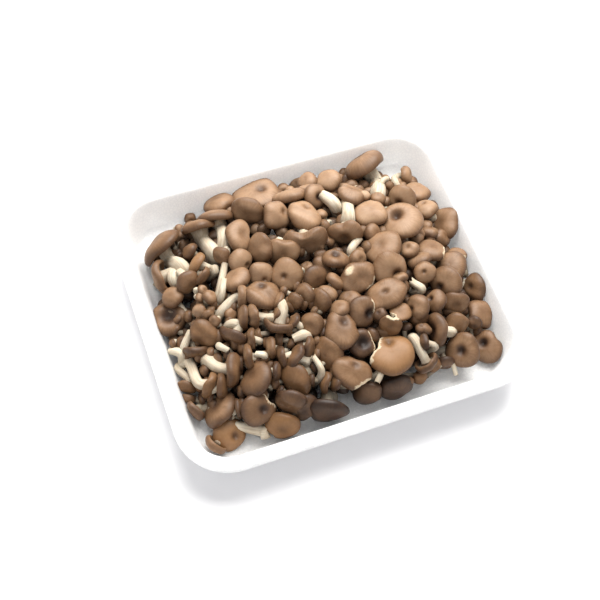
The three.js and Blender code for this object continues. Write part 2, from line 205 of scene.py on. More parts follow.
class Graph:
    """One material and the nodes that feed its Principled shader."""

    def __init__(self, name: str) -> None:
        """Makes an empty material with a Principled shader.

        Args:
            name: The material's name.
        """
        self.material = bpy.data.materials.new(name)
        self.material.use_nodes = True
        self.tree = self.material.node_tree
        self.shader = next(n for n in self.tree.nodes if n.type == "BSDF_PRINCIPLED")

    def node(
        self, kind: str, settings: dict, inputs: dict, output: int | str = 0
    ) -> bpy.types.NodeSocket:
        """Adds a node and sets it up.

        Args:
            kind: The node's type, without its ShaderNode prefix.
            settings: Values for the node's own properties; "stops" are a colour ramp's stops.
            inputs: A value, a socket or a Number for each input, by name or place.
            output: Which of the node's outputs is wanted.

        Returns:
            That output.
        """
        made = self.tree.nodes.new("ShaderNode" + kind)
        for key, value in settings.items():
            if key == "stops":
                self._set_stops(made.color_ramp.elements, value)
            else:
                setattr(made, key, value)
        for key, value in inputs.items():
            self.feed(made.inputs[key], value)
        return made.outputs[output]

    @staticmethod
    def _set_stops(elements: bpy.types.ColorRampElements, stops: list) -> None:
        """Gives a colour ramp its stops.

        Args:
            elements: The ramp's elements.
            stops: A place and a colour for each stop, in order.
        """
        for place, colour in stops[len(elements):]:
            elements.new(place).color = colour
        for element, (place, colour) in zip(elements, stops):
            element.position = place
            element.color = colour

    def feed(self, socket: bpy.types.NodeSocket, value: object) -> None:
        """Links a socket or a Number to an input, or sets the input to a plain value."""
        if isinstance(value, Number):
            value = value.socket
        if isinstance(value, bpy.types.NodeSocket):
            self.tree.links.new(value, socket)
        else:
            socket.default_value = value

    def trait(self, trait: Trait) -> Number:
        """The number that the mesh holds for a trait."""
        return Number(self, self.node("Attribute", {"attribute_name": trait.value}, {}, "Fac"))

    def grain(self) -> bpy.types.NodeSocket:
        """The direction round the stem or cap and the place along it, which the mesh holds."""
        return self.node("Attribute", {"attribute_name": "grain"}, {}, "Vector")

    def place(self) -> bpy.types.NodeSocket:
        """The point's own place on the object."""
        return self.node("TexCoord", {}, {}, "Object")

    def noise(self, where: bpy.types.NodeSocket, scale: float, detail: float = 2.0) -> Number:
        """Soft noise from 0 to 1.

        Args:
            where: The coordinates.
            scale: How many patches there are in one unit.
            detail: How many finer layers are added.

        Returns:
            The noise.
        """
        made = self.node("TexNoise", {}, {"Vector": where, "Scale": scale, "Detail": detail}, "Fac")
        return Number(self, made)

    def stretched(
        self, where: bpy.types.NodeSocket, by: tuple[float, float, float]
    ) -> bpy.types.NodeSocket:
        """Coordinates scaled by an amount along each axis."""
        return self.node("VectorMath", {"operation": "MULTIPLY"}, {0: where, 1: by})

    def blend(self, share: Number | float, first: object, second: object) -> bpy.types.NodeSocket:
        """Mixes two colours.

        Args:
            share: How much of the second there is.
            first: The first colour.
            second: The second colour.

        Returns:
            The mixed colour.
        """
        return self.node("Mix", {"data_type": "RGBA"}, {0: share, 6: first, 7: second}, 2)

    def ramp(self, value: Number, stops: list) -> bpy.types.NodeSocket:
        """A colour looked up from a number."""
        return self.node("ValToRGB", {"stops": stops}, {"Fac": value}, "Color")

    def raise_surface(self, height: Number, depth: float, strength: float) -> None:
        """Feeds the shader's normal from a bump.

        Args:
            height: The bump's height, from 0 to 1.
            depth: How deep the bump is at most, in metres.
            strength: How much of it shows.
        """
        inputs = {"Height": height, "Distance": depth, "Strength": strength}
        self.feed(self.shader.inputs["Normal"], self.node("Bump", {}, inputs, "Normal"))


# ---- Finishes ----
@dataclass(frozen=True)
class SkinFinish:
    """The satin skin of a cap: dark in the hollow and tan over the top, with painted shade browning it at
    the margin.
    """

    shades: tuple = (
        (0.0, tint(38, 25, 18)),
        (0.22, tint(68, 48, 35)),
        (0.45, tint(110, 82, 58)),
        (0.68, tint(152, 122, 95)),
        (1.0, tint(192, 167, 139)),
    )
    orange: tuple = tint(138, 98, 57)
    middle: float = 0.56
    roughness: float = 0.46

    def colour(self, graph: Graph) -> bpy.types.NodeSocket:
        """Mixes the skin's colour from the mesh's traits, soft blotches and radial fibrils."""
        blotches = graph.noise(graph.place(), 130.0) - 0.5
        specks = graph.noise(graph.place(), 520.0, 3.0) - 0.5
        fibrils = graph.noise(graph.stretched(graph.grain(), (22.0, 22.0, 2.0)), 1.0, 3.0) - 0.5
        level = (
            self.middle
            + graph.trait(Trait.TONE) * 0.22
            - graph.trait(Trait.EDGE) * 0.19
            - graph.trait(Trait.DARK) * 0.5
            + blotches * 0.2
            + fibrils * 0.2
            + specks * 0.08
        )
        skin = graph.ramp(level.clamped(), list(self.shades))
        return graph.blend((graph.trait(Trait.WARM) * level * 1.1).clamped(), skin, self.orange)


@dataclass(frozen=True)
class GillFinish:
    """Thin radial gills, cream on their edges, with painted shade in the folds between them and deeper
    under the cap.
    """

    painted_fold_shade: tuple = tint(70, 53, 43)
    edge: tuple = tint(176, 155, 128)
    count: float = 46.0

    def stripes(self, graph: Graph) -> Number:
        """A wave from 0 to 1 that goes round the cap once for each gill."""
        along = graph.node("SeparateXYZ", {}, {"Vector": graph.grain()}, "X")
        across = graph.node("SeparateXYZ", {}, {"Vector": graph.grain()}, "Y")
        turn = Number(graph, graph.node("Math", {"operation": "ARCTAN2"}, {0: across, 1: along}))
        return (turn * self.count).sine() * 0.5 + 0.5

    def colour(self, graph: Graph) -> bpy.types.NodeSocket:
        """Mixes the gills' colour."""
        # Painted shade: the folds between the gills are dark, and the gills darken deeper under the cap
        share = self.stripes(graph) * 0.75 - graph.trait(Trait.DARK) * 0.8 + 0.2
        return graph.blend(share.clamped(), self.painted_fold_shade, self.edge)


@dataclass(frozen=True)
class StemFinish:
    """Cream stem flesh with fibres along it, tanned next to the cap."""

    light: tuple = tint(219, 209, 188)
    shade: tuple = tint(166, 147, 122)
    tan: tuple = tint(108, 84, 66)

    def fibres(self, graph: Graph) -> Number:
        """Noise drawn out along the stem."""
        return graph.noise(graph.stretched(graph.grain(), (7.0, 7.0, 1.4)), 1.0, 3.0)

    def colour(self, graph: Graph) -> bpy.types.NodeSocket:
        """Mixes the stem's colour."""
        patches = graph.noise(graph.place(), 90.0)
        share = (self.fibres(graph) * 1.7 + patches * 1.3 - 1.05).clamped()
        flesh = graph.blend(share, self.light, self.shade)
        return graph.blend(graph.trait(Trait.DARK).clamped(), flesh, self.tan)


@dataclass(frozen=True)
class TornFinish:
    """Bare white flesh where a cap or a stem has torn."""

    white: tuple = tint(212, 196, 168)
    cream: tuple = tint(164, 137, 108)

    def colour(self, graph: Graph) -> bpy.types.NodeSocket:
        """Mixes the torn flesh's colour."""
        crumbs = graph.noise(graph.place(), 700.0, 4.0) * 1.6 - 0.4
        return graph.blend(crumbs.clamped(), self.white, self.cream)


@dataclass(frozen=True)
class MushroomFinish:
    """The one material that a clump wears: skin, gills, stem and torn flesh, told apart by traits, with
    painted shade deep in the heap.
    """

    skin: SkinFinish = SkinFinish()
    gills: GillFinish = GillFinish()
    stem: StemFinish = StemFinish()
    torn: TornFinish = TornFinish()
    # The colour of the painted shade deep in the heap, and how strongly it is mixed in
    shadow: tuple = tint(36, 26, 21)
    gloom: float = 0.9

    def material(self) -> bpy.types.Material:
        """Builds the material.

        Returns:
            The finished material.
        """
        graph = Graph("mushroom")
        gill, stem, torn = (graph.trait(t).clamped() for t in (Trait.GILL, Trait.STEM, Trait.TORN))
        colour = graph.blend(gill, self.skin.colour(graph), self.gills.colour(graph))
        colour = graph.blend(stem, colour, self.stem.colour(graph))
        colour = graph.blend(torn, colour, self.torn.colour(graph))
        # Painted shade: points deep between the other mushrooms are mixed towards the shadow colour
        colour = graph.blend(graph.trait(Trait.PAINTED_SHADE) * self.gloom, colour, self.shadow)
        graph.feed(graph.shader.inputs["Base Color"], colour)
        fine = graph.noise(graph.place(), 1400.0, 3.0)
        rough = self.skin.roughness + (gill + stem + torn * 1.5) * 0.16 + (fine - 0.5) * 0.12
        graph.feed(graph.shader.inputs["Roughness"], rough)
        graph.shader.inputs["Specular IOR Level"].default_value = 0.3
        graph.shader.inputs["Subsurface Weight"].default_value = 0.12
        graph.shader.inputs["Subsurface Radius"].default_value = (1.0, 0.55, 0.35)
        graph.shader.inputs["Subsurface Scale"].default_value = 0.0015
        fibrils = graph.noise(graph.stretched(graph.grain(), (30.0, 30.0, 3.0)), 1.0, 3.0)
        smooth = fibrils * 0.25 + fine * 0.15
        height = smooth + gill * self.gills.stripes(graph) * 1.6 + stem * self.stem.fibres(graph) * 0.9
        graph.raise_surface(height + torn * fine * 2.0, 0.0004, 0.6)
        return graph.material


@dataclass(frozen=True)
class FoamFinish:
    """White foam skin in which the beads just show."""

    white: tuple = tint(237, 237, 236)
    seam: tuple = tint(226, 227, 228)
    bead: float = 420.0
    roughness: float = 0.5
    glow: float = 0.015  # how far light spreads inside the foam, in metres

    def material(self) -> bpy.types.Material:
        """Builds the material.

        Returns:
            The finished material.
        """
        graph = Graph("foam")
        cells = {"Vector": graph.place(), "Scale": self.bead}
        edges = graph.node("TexVoronoi", {"feature": "DISTANCE_TO_EDGE"}, cells, "Distance")
        beads = (Number(graph, edges) * 6.0).clamped()
        cloud = graph.noise(graph.place(), 60.0, 3.0)
        colour = graph.blend(beads * 0.7 + cloud * 0.3, self.seam, self.white)
        graph.feed(graph.shader.inputs["Base Color"], colour)
        graph.feed(graph.shader.inputs["Roughness"], self.roughness + (cloud - 0.5) * 0.15 - beads * 0.05)
        graph.raise_surface(beads + cloud * 0.6, 0.0003, 0.3)
        graph.shader.inputs["Subsurface Weight"].default_value = 0.6
        graph.shader.inputs["Subsurface Radius"].default_value = (1.0, 1.0, 1.0)
        graph.shader.inputs["Subsurface Scale"].default_value = self.glow
        return graph.material


@dataclass(frozen=True)
class TableFinish:
    """The plain white table under the tray."""

    white: tuple = tint(250, 250, 251)
    cloudy: tuple = tint(249, 249, 251)

    def material(self) -> bpy.types.Material:
        """Builds the material.

        Returns:
            The finished material.
        """
        graph = Graph("table")
        cloud = graph.noise(graph.place(), 4.0)
        graph.feed(graph.shader.inputs["Base Color"], graph.blend(cloud, self.white, self.cloudy))
        graph.shader.inputs["Roughness"].default_value = 0.9
        return graph.material


# ---- Places and directions ----
def mound_height(x: np.ndarray | float, y: np.ndarray | float) -> np.ndarray | float:
    """How high the smooth mound that the caps make is, over places in the tray."""
    fall = np.abs(x / HEAP_REACH[0]) ** 3 + np.abs(y / HEAP_REACH[1]) ** 3
    return HEAP_FOOT + (HEAP_TOP - HEAP_FOOT) * np.maximum(0, 1 - fall) ** 0.75


def on_heap(x: float, y: float) -> Vector:
    """The mound's point over a place in the tray, in millimetres."""
    return Vector((x, y, mound_height(x, y)))


def facing(place: Vector) -> Vector:
    """The direction from a place on the heap to the point that the caps turn to."""
    return (CAPS_TURN_TO - place).normalized()


def leaned(face: Vector, lean: float, towards: float) -> Vector:
    """Leans a direction over.

    Args:
        face: The direction with no lean.
        lean: How far it leans, in degrees.
        towards: The compass angle that it leans to, from +X to +Y.

    Returns:
        The leaned unit direction.
    """
    turn = math.radians(towards)
    flat = Vector((math.cos(turn), math.sin(turn), 0.0))
    side = (flat - face * flat.dot(face)).normalized()
    return face * math.cos(math.radians(lean)) + side * math.sin(math.radians(lean))


def bell(offset: np.ndarray, width: float) -> np.ndarray:
    """A smooth hump that is 1 where the offset is 0."""
    return np.exp(-((offset / width) ** 2))


def turn_between(angles: np.ndarray, compass: float) -> np.ndarray:
    """How far each angle is from a compass angle, from -pi to pi."""
    return (angles - math.radians(compass) + math.pi) % (2 * math.pi) - math.pi


# ---- Meshes ----
class Sketch:
    """Collects rings of points with their traits and turns them into one mesh."""

    def __init__(self) -> None:
        """Starts empty."""
        self.points: list[np.ndarray] = []
        self.traits: dict[Trait, list[np.ndarray]] = {trait: [] for trait in Trait}
        self.grain: list[np.ndarray] = []
        self.faces: list[tuple[int, ...]] = []
        self.count = 0

    def add_rings(
        self,
        rings: np.ndarray,
        grain: np.ndarray,
        traits: dict[Trait, np.ndarray | float],
        poles: tuple[Vector, Vector],
        inwards: bool = False,
    ) -> None:
        """Adds a closed skin: rings of points between two end points.

        Args:
            rings: The points, as rings by points by three.
            grain: The grain direction at each of them, of the same shape.
            traits: The traits at each of them, or one number for all.
            poles: The points that close the first and the last ring.
            inwards: True if the rings' order would turn the faces inwards.
        """
        count, sides = rings.shape[:2]
        first, start, last = self.count, self.count + 1, self.count + 1 + count * sides
        self.points += [np.array([poles[0]]), rings.reshape(-1, 3), np.array([poles[1]])]
        flat = grain.reshape(-1, 3)
        self.grain += [flat[:sides].mean(0, keepdims=True), flat, flat[-sides:].mean(0, keepdims=True)]
        for trait in Trait:
            values = np.broadcast_to(traits.get(trait, 0.0), (count, sides))
            ends = values[0].mean(keepdims=True), values[-1].mean(keepdims=True)
            self.traits[trait] += [ends[0], values.reshape(-1), ends[1]]
        quads = []
        for side in range(sides):
            after = (side + 1) % sides
            quads.append((first, start + side, start + after))
            for ring in range(count - 1):
                low, high = start + ring * sides, start + (ring + 1) * sides
                quads.append((low + side, high + side, high + after, low + after))
            quads.append((last, last - sides + after, last - sides + side))
        self.faces += [face[::-1] for face in quads] if inwards else quads
        self.count = last + 1

    def press(self, tray: "FoamTray") -> None:
        """Presses the points back into the tray where they pass its wall."""
        self.points = [tray.hold(np.concatenate(self.points))]

    def shade_depths(self) -> None:
        """Sets each point's painted shade from its depth under the mound that the caps make."""
        points = np.concatenate(self.points)
        under = mound_height(points[:, 0], points[:, 1]) - points[:, 2]
        self.traits[Trait.PAINTED_SHADE] = [np.clip((under - SHADE_FROM) / (FULL_SHADE_AT - SHADE_FROM), 0, 1)]

    def build(self, name: str, material: bpy.types.Material) -> bpy.types.Object:
        """Makes the mesh object.

        Args:
            name: The piece's name.
            material: What it wears.

        Returns:
            The object, smooth shaded and linked to the scene.
        """
        mesh = bpy.data.meshes.new(name)
        mesh.from_pydata((np.concatenate(self.points) * MM).tolist(), [], self.faces)
        for trait, parts in self.traits.items():
            layer = mesh.attributes.new(trait.value, "FLOAT", "POINT")
            layer.data.foreach_set("value", np.concatenate(parts).astype(np.float32))
        layer = mesh.attributes.new("grain", "FLOAT_VECTOR", "POINT")
        layer.data.foreach_set("vector", np.concatenate(self.grain).astype(np.float32).ravel())
        mesh.shade_smooth()
        mesh.materials.append(material)
        made = bpy.data.objects.new(name, mesh)
        bpy.context.scene.collection.objects.link(made)
        return made


# ---- The tray ----
@dataclass
class FoamTray:
    """A shallow foam tray with rounded corners, sloping walls and a soft lip turned out all round."""

    node: str = "tray"
    rim: float = 36.0
    wall: float = 3.6
    lip: float = 9.4
    corner_steps: int = 14
    side_steps: int = 12
    rounding: int = 3
    slack: float = 0.3  # the gap that is kept between the tray and what is pressed against it
    freeing: float = 25.0  # how fast the limit moves out with the height above the rim
    size: tuple[float, float, float] = field(init=False)

    def __post_init__(self) -> None:
        """Takes the tray's length, width and height from the frame."""
        low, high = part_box(self.node)
        self.size = tuple((high - low) / MM)

    def _section(self) -> np.ndarray:
        """The section from the middle of the underside, round the lip to the middle of the floor."""
        rim, top = self.rim, self.size[2]
        inner = rim - self.lip
        corners = [
            (0, 0), (rim - 17, 0), (rim - 13.4, 0.4), (rim - 12, 3.4),
            (inner + self.wall, top - 6.4), (inner + self.wall + 1.4, top - 5), (rim - 2.4, top - 5.2),
            (rim, top - 4.6), (rim, top - 1.6), (rim - 2.2, top), (rim - 5.5, top),
            (inner + 0.8, top - 0.9), (inner - 0.9, top - 3.2), (inner - 6.0, 8.0),
            (inner - 7.6, FLOOR + 1.4), (inner - 11.5, FLOOR), (0, FLOOR),
        ]
        line = np.array(corners, float)
        for _ in range(self.rounding):
            early, late = line[:-1] * 0.75 + line[1:] * 0.25, line[:-1] * 0.25 + line[1:] * 0.75
            line = np.vstack([line[:1], np.stack([early, late], 1).reshape(-1, 2)[1:-1], line[-1:]])
        return line

    def _corners(self) -> np.ndarray:
        """Half the distances between the centres that the tray's corners turn about."""
        return np.array([self.size[0] / 2 - self.rim, self.size[1] / 2 - self.rim])

    def _outline(self) -> tuple[np.ndarray, np.ndarray]:
        """Points round the tray as corner centres and directions out of them, sides included."""
        signs = ((1, 1), (-1, 1), (-1, -1), (1, -1))
        places = [self._corners() * sign for sign in signs]
        centres, ways = [], []
        for corner, here in enumerate(places):
            start = corner * math.pi / 2
            for turn in np.linspace(start, start + math.pi / 2, self.corner_steps + 1):
                centres.append(here)
                ways.append((math.cos(turn), math.sin(turn)))
            after = places[(corner + 1) % 4]
            for share in np.linspace(0, 1, self.side_steps + 1)[1:-1]:
                centres.append(here + (after - here) * share)
                ways.append(ways[-1])
        return np.array(centres), np.array(ways)

    def hold(self, points: np.ndarray) -> np.ndarray:
        """Presses what passes the tray's inner wall or floor back against them.

        Args:
            points: Points of the mushrooms, in millimetres.

        Returns:
            The points, moved where they had to be.
        """
        section = self._section()
        top = int(section[:, 1].argmax())
        inner = section[top:][::-1]
        inner = inner[inner[:, 1] > FLOOR + FLAT]
        height = np.maximum(points[:, 2], FLOOR + self.slack)
        limit = np.interp(height, inner[:, 1], inner[:, 0]) - self.slack
        limit = limit + self.freeing * np.maximum(0, height - self.size[2])
        beyond = np.abs(points[:, :2]) - self._corners()
        out = np.maximum(beyond, 0)
        reach = np.maximum(np.hypot(out[:, 0], out[:, 1]), NOTHING)
        pull = np.minimum(1, limit / reach)[:, None]
        flat = np.abs(points[:, :2]) - out * (1 - pull)
        return np.column_stack([flat * np.sign(points[:, :2]), height])

    def build(self, material: bpy.types.Material) -> bpy.types.Object:
        """Makes the tray's piece.

        Args:
            material: The foam.

        Returns:
            The piece.
        """
        section = self._section()
        centres, ways = self._outline()
        skin = [
            np.column_stack([centres + ways * reach, np.full(len(ways), height)])
            for reach, height in section[1:-1]
        ]
        shares = (0.93, 0.7, 0.35)
        under = [skin[0] * (share, share, 1) for share in reversed(shares)]
        over = [skin[-1] * (share, share, 1) for share in shares]
        grid = np.array(under + skin + over)
        sketch = Sketch()
        ends = Vector((0, 0, float(section[0, 1]))), Vector((0, 0, float(section[-1, 1])))
        sketch.add_rings(grid, np.zeros_like(grid), {}, ends, inwards=True)
        piece = sketch.build("foam_tray", material)
        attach(piece, "root")
        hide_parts(self.node)
        return piece


# ---- Mushrooms ----
@dataclass(frozen=True)
class Tear:
    """A piece torn out of a cap's margin: where, how deep and how wide."""

    compass: float
    depth: float
    width: float = 50.0


@dataclass(frozen=True)
class Notch:
    """A place where the margin folds in, which makes a cap kidney shaped."""

    compass: float
    depth: float
    width: float = 35.0


@dataclass(frozen=True)
class Peel:
    """A patch on a cap where the skin has come off: how far out it is, where, and its size."""

    reach: float
    compass: float
    size: float


@dataclass
class CapGrid:
    """A cap's rings of points: over its top, round its margin and in along its gills."""

    reach: np.ndarray  # how far out each point is
    around: np.ndarray
    top: np.ndarray
    gill: np.ndarray
    roll: float

    @classmethod
    def of_width(cls, across: float) -> "CapGrid":
        """The rings of a round cap of some width."""
        sides, tops, rolls, gills = FINE_MESH if across > SMALL_CAP else PLAIN_MESH
        roll = float(np.interp(across, *ROLL))
        swing = np.linspace(0, math.pi / 2, tops + 1)[1:]
        turn = np.linspace(0, math.pi, rolls + 1)[1:]
        inner = np.linspace(1 - roll, STEM_HOLE, gills + 1)[1:]
        reach = np.concatenate([np.sin(swing), 1 - roll / 2 * (1 - np.cos(turn)), inner])
        angles = np.arange(sides) / sides * 2 * math.pi
        grid, around = np.meshgrid(reach, angles, indexing="ij")
        ring = np.arange(len(reach))[:, None]
        return cls(grid, around, ring < tops, ring >= tops + rolls - 1, roll)


@dataclass(frozen=True)
class Cap:
    """One mushroom: where its cap shows on the heap, its size, its lean and its own marks."""

    x: float
    y: float
    across: float
    lean: float
    towards: float
    lift: float = 0.0
    dent: float | None = None  # how deep the dent is, as a share of the crown
    oval: float = 1.0
    grain: float = 0.0
    foot: tuple[float, float] | None = None
    hollow: tuple[float, float] = (0.0, 0.0)  # how far the dent is off the middle, and its compass angle
    dent_width: float = 0.3
    notch: Notch | None = None
    tear: Tear | None = None
    peel: Peel | None = None
    thick: float | None = None  # how high the cap is over its margin, as a share of its radius
    stem: float | None = None  # the stem's thickness
    wave: float = 0.07
    tone: float = 0.0
    warm: float = 0.0
    dark: float = 1.0  # how dark the dent is

    def seed(self) -> int:
        """A number of its own for the mushroom's random draws."""
        return int(self.x * 7 + 2000) * 4001 + int(self.y * 7 + 2000) + int(self.across * 10)

    def place(self) -> tuple[Vector, Vector]:
        """Where the cap's middle is, and its axis."""
        surface = on_heap(self.x, self.y)
        face = facing(surface)
        axis = leaned(face, self.lean, self.towards)
        centre = surface + face * (self.lift - CAP_SINK * self.across)
        lowest = FLOOR + self.across / 2 * math.hypot(axis.x, axis.y) + 1
        centre.z = max(centre.z, lowest)
        return centre, axis

    def crown(self) -> float:
        """How high the cap is over its margin, as a share of its radius: small caps are rounder."""
        return float(np.interp(self.across, *CROWN)) if self.thick is None else self.thick

    def stem_thickness(self) -> float:
        """How thick the stem is under the cap."""
        return self.stem or min(max(STEM_SHARE * self.across, STEM_LEAST), STEM_MOST)

    def draw(self, sketch: Sketch, butt: Vector) -> None:
        """Adds the cap and its stem to a sketch.

        Args:
            sketch: What they are added to.
            butt: Where the clump's stems meet.
        """
        centre, axis = self.place()
        self._draw_cap(sketch, centre, axis)
        thick = self.stem_thickness()
        neck = centre - axis * NECK * self.across
        start = centre - axis * 0.02 * (self.across / 2)
        if self.foot:
            surface = on_heap(*self.foot)
            foot = surface + facing(surface) * (self.lift - thick)
            if self.lean < STANDING:
                foot.z = min(foot.z, neck.z)
            way = [start, neck, foot, butt]
        else:
            neck.z = min(neck.z, centre.z - LEAST_FALL * self.across)
            way = [start, neck, butt]
        for point in way[1:-1]:
            point.z = max(point.z, FLOOR + thick)
        Stem(tuple(way), thick, self.seed(), flare=FLARE).draw(sketch)

    def _draw_cap(self, sketch: Sketch, centre: Vector, axis: Vector) -> None:
        """Adds the cap alone.

        Args:
            sketch: What it is added to.
            centre: The cap's middle.
            axis: The way its top faces.
        """
        draws = np.random.default_rng(self.seed())
        grid = CapGrid.of_width(self.across)
        torn = self._tear_off(grid, draws)
        x, y = self._outline(grid, draws)
        dent = DENT_SPREAD * draws.random() if self.dent is None else self.dent
        off = math.radians(self.hollow[1])
        apart = np.hypot(x - self.hollow[0] * math.cos(off), y - self.hollow[0] * math.sin(off))
        height = self._heights(grid, apart, dent) + self._bends(grid, x, y, draws)
        x, y = self._oval_shape(x, y)
        local = np.stack([x, y, height], -1) * (self.across / 2)
        spin = np.array(Vector((0, 0, 1)).rotation_difference(axis).to_matrix())
        rings = local @ spin.T + np.array(centre)
        sunk = DENT_DEPTH * dent * float(bell(np.array(self.hollow[0]), self.dent_width))
        top = self.crown() * (1 - sunk) * self.across / 2
        poles = tuple(Vector(spin @ (0, 0, z)) + centre for z in (top, local[-1, :, 2].mean()))
        depth = min(1.0, dent * DIMPLE_SHADE)
        smudge = self.dark * depth * bell(apart, self.dent_width * SMUDGE) * grid.top
        # Painted light: caps towards the tray's back are lighter, those at the front darker
        light = PAINTED_BACK_LIGHT * min(max(self.y / LIGHT_REACH, -1.6), 1.0)
        traits = {
            Trait.TONE: self.tone + draws.normal() * TONE_SPREAD + light,
            Trait.WARM: self.warm + WARM_SPREAD * draws.random(),
            # The gills darken towards the stem: painted shade under the cap
            Trait.DARK: smudge + 0.5 * grid.gill * (1 - grid.reach),
            # Painted shade: the skin darkens towards the margin
            Trait.EDGE: np.clip((grid.reach - 0.7) / 0.3, 0, 1) ** 1.5 * (1 - grid.gill),
            Trait.GILL: grid.gill.astype(float),
            Trait.TORN: np.maximum(torn, self._peeled(x, y) * grid.top),
        }
        fibre = [np.cos(grid.around), np.sin(grid.around), grid.reach + self.seed() % 97]
        sketch.add_rings(rings, np.stack(fibre, -1), traits, poles)

    def _tear_off(self, grid: CapGrid, draws: np.random.Generator) -> np.ndarray:
        """Pulls the margin in where it is torn.

        Args:
            grid: The cap's rings.
            draws: The cap's own random numbers.

        Returns:
            True for each point that is bare flesh.
        """
        if not self.tear:
            return np.zeros(grid.reach.shape, bool)
        angles = grid.around[0]
        jag = sum(
            draws.normal() * TEAR_JAG * np.cos(k * angles + draws.uniform(0, 6)) for k in TEAR_WAVES
        )
        near = bell(turn_between(angles, self.tear.compass), math.radians(self.tear.width))
        cut = near * self.tear.depth
        limit = np.where(cut > LEAST_CUT, 1 - cut + jag, 2.0)
        torn = grid.reach > limit - TORN_BAND
        grid.reach = np.minimum(grid.reach, limit)
        return torn

    def _fold(self, grid: CapGrid) -> np.ndarray | float:
        """How strongly each point is drawn in by the notch."""
        if not self.notch:
            return 0.0
        apart = turn_between(grid.around, self.notch.compass)
        return self.notch.depth * bell(apart, math.radians(self.notch.width))

    def _outline(self, grid: CapGrid, draws: np.random.Generator) -> tuple[np.ndarray, np.ndarray]:
        """Where the points are when the cap is seen from above.

        Args:
            grid: The cap's rings.
            draws: The cap's own random numbers.

        Returns:
            Their places along and across it.
        """
        lobes = sum(
            draws.normal() * LOBES / k * np.cos(k * grid.around + draws.uniform(0, 6))
            for k in (2, 3, 4, 5)
        )
        spread = grid.reach * (1 + lobes * grid.reach)
        spread = spread * (1 - self._fold(grid) * grid.reach)
        return spread * np.cos(grid.around), spread * np.sin(grid.around)

    def _heights(self, grid: CapGrid, apart: np.ndarray, dent: float) -> np.ndarray:
        """How high the points are before the cap is bent.

        Args:
            grid: The cap's rings.
            apart: How far each point is from the dent's middle.
            dent: How deep the dent is.

        Returns:
            The heights of the dented dome and of the rolled margin and gills under it.
        """
        crown, inside = self.crown(), 1 - grid.roll
        drop = float(np.interp(self.across, *DROP))
        dome = crown * np.sqrt(np.maximum(0, 1 - np.minimum(grid.reach, 1) ** DOME_POWER))
        dip = dent * crown * DENT_DEPTH * bell(apart, self.dent_width)
        edge = np.clip((grid.reach - inside) / grid.roll, 0, 1)
        curl = drop * np.sin(np.arccos(np.clip(edge * 2 - 1, -1, 1)))
        margin = UNDER_RISE * crown * (1 - edge) - curl
        gills = UNDER_RISE * crown - GILL_SLOPE * (inside - grid.reach)
        under = np.where(grid.reach < inside, gills, margin)
        return np.where(grid.top, dome - dip, under)

    def _bends(
        self, grid: CapGrid, x: np.ndarray, y: np.ndarray, draws: np.random.Generator
    ) -> np.ndarray:
        """How far the cap's points are bent up or down, and its skin's lumps.

        Args:
            grid: The cap's rings.
            x: The points' places along the cap.
            y: Their places across it.
            draws: The cap's own random numbers.

        Returns:
            What is added to the heights.
        """
        bent = self.wave * grid.reach**2 * np.cos(2 * grid.around + draws.uniform(0, 6))
        bent += 0.6 * self.wave * grid.reach**3 * np.cos(3 * grid.around + draws.uniform(0, 6))
        bent += NOTCH_LIFT * self._fold(grid) * grid.reach**2
        for _ in range(4):
            swell = draws.normal() * LUMPS
            bent += swell * np.cos(
                draws.uniform(2, 6) * x + draws.uniform(2, 6) * y + draws.uniform(0, 6)
            )
        return bent

    def _oval_shape(self, x: np.ndarray, y: np.ndarray) -> tuple[np.ndarray, np.ndarray]:
        """Draws the cap out along its grain.

        Args:
            x: The points' places along the cap.
            y: Their places across it.

        Returns:
            The new places.
        """
        turn = math.radians(self.grain)
        cosine, sine = math.cos(turn), math.sin(turn)
        along = (x * cosine + y * sine) * math.sqrt(self.oval)
        across = (y * cosine - x * sine) / math.sqrt(self.oval)
        return along * cosine - across * sine, across * cosine + along * sine

    def _peeled(self, x: np.ndarray, y: np.ndarray) -> np.ndarray:
        """How bare the flesh is at points on the cap.

        Args:
            x: Their places along the cap, as shares of its radius.
            y: Their places across it.

        Returns:
            A number from 0 to 1 for each.
        """
        if not self.peel:
            return np.zeros_like(x)
        turn = math.radians(self.peel.compass)
        along = x * math.cos(turn) + y * math.sin(turn) - self.peel.reach
        across = y * math.cos(turn) - x * math.sin(turn)
        ragged = 0.12 * np.sin(9 * across) + 0.1 * np.sin(14 * along + 2)
        inside = self.peel.size * (1 + ragged) - np.hypot(along * 1.7, across)
        return np.clip(inside * 9, 0, 1)


